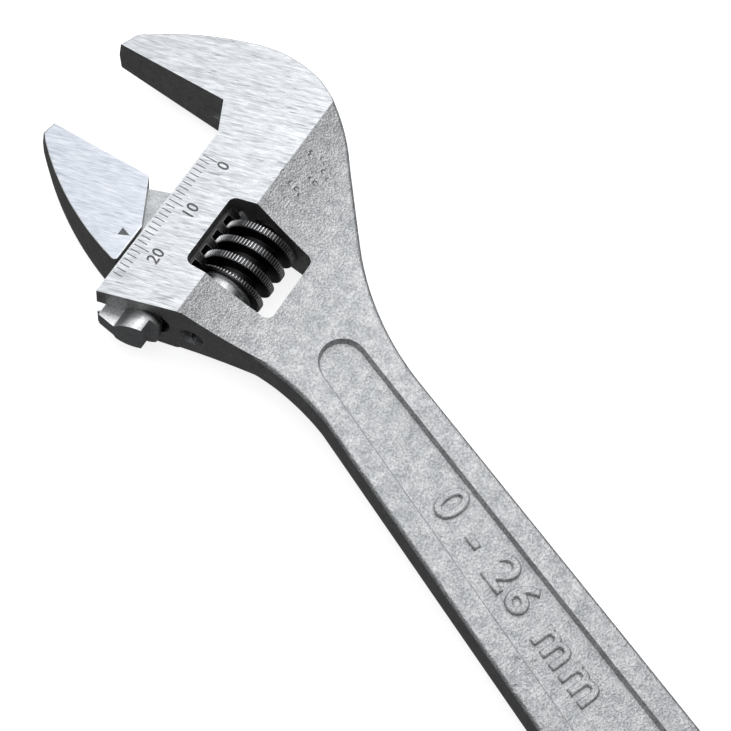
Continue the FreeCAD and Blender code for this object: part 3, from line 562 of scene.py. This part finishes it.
def scale_lines():
    """One line to a millimetre, longer at every ten."""
    mesh = bmesh.new()
    for mark in range(SCALE_MARKS):
        left, right = mark - MARK_HALF, mark + MARK_HALF
        end = TENTH_END if mark % 10 == 0 else MARK_END
        thin_prism(mesh, [(left, MARK_START), (right, MARK_START), (right, end), (left, end)])
    add_piece("scale_lines", finished_data(mesh, "scale_lines"), [ETCHED], "body", HEAD)


def letter_mesh(name, text, size, depth, bevel, spacing, stretch, heavier):
    """Flat lettering centred on its own origin, in millimetres."""
    curve = bpy.data.curves.new(name, "FONT")
    curve.body = text
    curve.size = size
    curve.extrude = depth
    curve.bevel_depth = bevel
    curve.bevel_resolution = 3
    curve.offset = heavier
    curve.space_character = spacing
    curve.align_x = "CENTER"
    curve.align_y = "CENTER"
    curve.resolution_u = 6
    holder = bpy.data.objects.new(name, curve)
    data = bpy.data.meshes.new_from_object(holder)
    data.name = name
    data.transform(Matrix.Diagonal((stretch, 1, 1, 1)))
    bpy.data.objects.remove(holder)
    data.materials.clear()
    return data


def scale_numerals():
    """0, 10 and 20 beside their lines, read from the tail of the scale."""
    for text, across in (("0", 4.4), ("10", 4.55), ("20", 4.55)):
        data = letter_mesh("numeral_" + text, text, NUMERAL_SIZE, depth=0.02, bevel=0.0,
                           spacing=1.05, stretch=0.95, heavier=0.045)
        tilt = Matrix.Rotation(math.atan(FACE_RISE), 4, "X")
        turn = Matrix.Rotation(math.pi, 4, "Z")
        spot = Matrix.Translation(on_face(float(text), across, -0.01))
        add_piece("numeral_" + text, data, [ETCHED], "body", HEAD @ spot @ tilt @ turn)


def jaw_pointer():
    """Small triangle on the moving jaw that reads against the scale."""
    mesh = bmesh.new()
    thin_prism(mesh, POINTER)
    add_piece("jaw_pointer", finished_data(mesh, "jaw_pointer"), [ETCHED], "jaw", HEAD)


def raised_marking():
    """Raised opening range in the panel of the handle, read towards the tail."""
    data = letter_mesh("raised_marking", "0 - 26 mm", 8.3, depth=0.1, bevel=0.36,
                       spacing=1.12, stretch=1.03, heavier=-0.06)
    turn = Matrix.Rotation(math.pi, 4, "Z")
    spot = Matrix.Translation((75.3 * MM, -0.3 * MM, (PANEL_FLOOR + 0.1) * MM))
    add_piece("raised_marking", data, [FRAME_STEEL], "body",
              spot @ turn @ Matrix.Scale(MM, 4))


worm_piece()
scale_lines()
scale_numerals()
jaw_pointer()
raised_marking()

# ---------------------------------------------------------------- studio


def studio_floor():
    """Pale floor just under the wrench."""
    mesh = bmesh.new()
    bmesh.ops.create_grid(mesh, x_segments=1, y_segments=1, size=6.0)
    data = bpy.data.meshes.new("floor")
    mesh.to_mesh(data)
    mesh.free()
    floor = bpy.data.objects.new("floor", data)
    bpy.context.scene.collection.objects.link(floor)
    floor.location = (0.08, 0, CAD_BOX[0].z - 0.0004)
    data.materials.append(floor_white())
    floor.visible_glossy = False


def studio_world():
    """Soft dome: bright above the wrench, dim towards the horizon."""
    world = bpy.data.worlds.new("studio")
    bpy.context.scene.world = world
    world.use_nodes = True
    tree = world.node_tree
    background = tree.nodes["Background"]
    spot = node(tree, "ShaderNodeTexCoord")
    toward = node(tree, "ShaderNodeVectorMath", [(0, spot.outputs["Generated"])], operation="DOT_PRODUCT")
    toward.inputs[1].default_value = Vector((0.42, -0.24, 0.875)).normalized()
    glow = node(tree, "ShaderNodeMapRange", [(0, toward.outputs["Value"])], interpolation_type="SMOOTHSTEP")
    for index, setting in ((1, 0.40), (2, 0.95), (3, 0.062), (4, 0.97)):
        glow.inputs[index].default_value = setting
    path = node(tree, "ShaderNodeLightPath")
    seen = mix_value(tree, path.outputs["Is Camera Ray"], glow.outputs[0], 1.0)
    tree.links.new(seen, background.inputs["Strength"])
    background.inputs["Color"].default_value = (0.975, 0.985, 1.0, 1)


def studio_lamp():
    """Small soft box that gives the worm and the bevels their highlights."""
    lamp = bpy.data.lights.new("soft_box", "AREA")
    lamp.shape = "DISK"
    lamp.size = 0.3
    lamp.energy = 0.28
    holder = bpy.data.objects.new("soft_box", lamp)
    bpy.context.scene.collection.objects.link(holder)
    holder.location = (0.34, -0.22, 0.62)
    aim = Vector((0.14, 0, 0)) - holder.location
    holder.rotation_mode = "QUATERNION"
    holder.rotation_quaternion = aim.to_track_quat("-Z", "Y")


def studio_camera():
    """Camera above the handle, tilted towards the head."""
    camera = bpy.data.cameras.new("camera")
    camera.sensor_width = 36.0
    camera.lens = 93.57
    camera.clip_start = 0.01
    holder = bpy.data.objects.new("camera", camera)
    bpy.context.scene.collection.objects.link(holder)
    right = Vector((-0.5807, -0.8076, 0.1026)).normalized()
    back = Vector((-0.2561, 0.3010, 0.9186)).normalized()
    up = back.cross(right).normalized()
    right = up.cross(back)
    holder.matrix_world = Matrix.Translation((0.0410, 0.0897, 0.2851)) @ Matrix(
        (right, up, back)).transposed().to_4x4()
    bpy.context.scene.camera = holder


studio_floor()
studio_world()
studio_lamp()
studio_camera()
bpy.context.scene.view_settings.view_transform = "Standard"
bpy.context.scene.view_settings.look = "None"
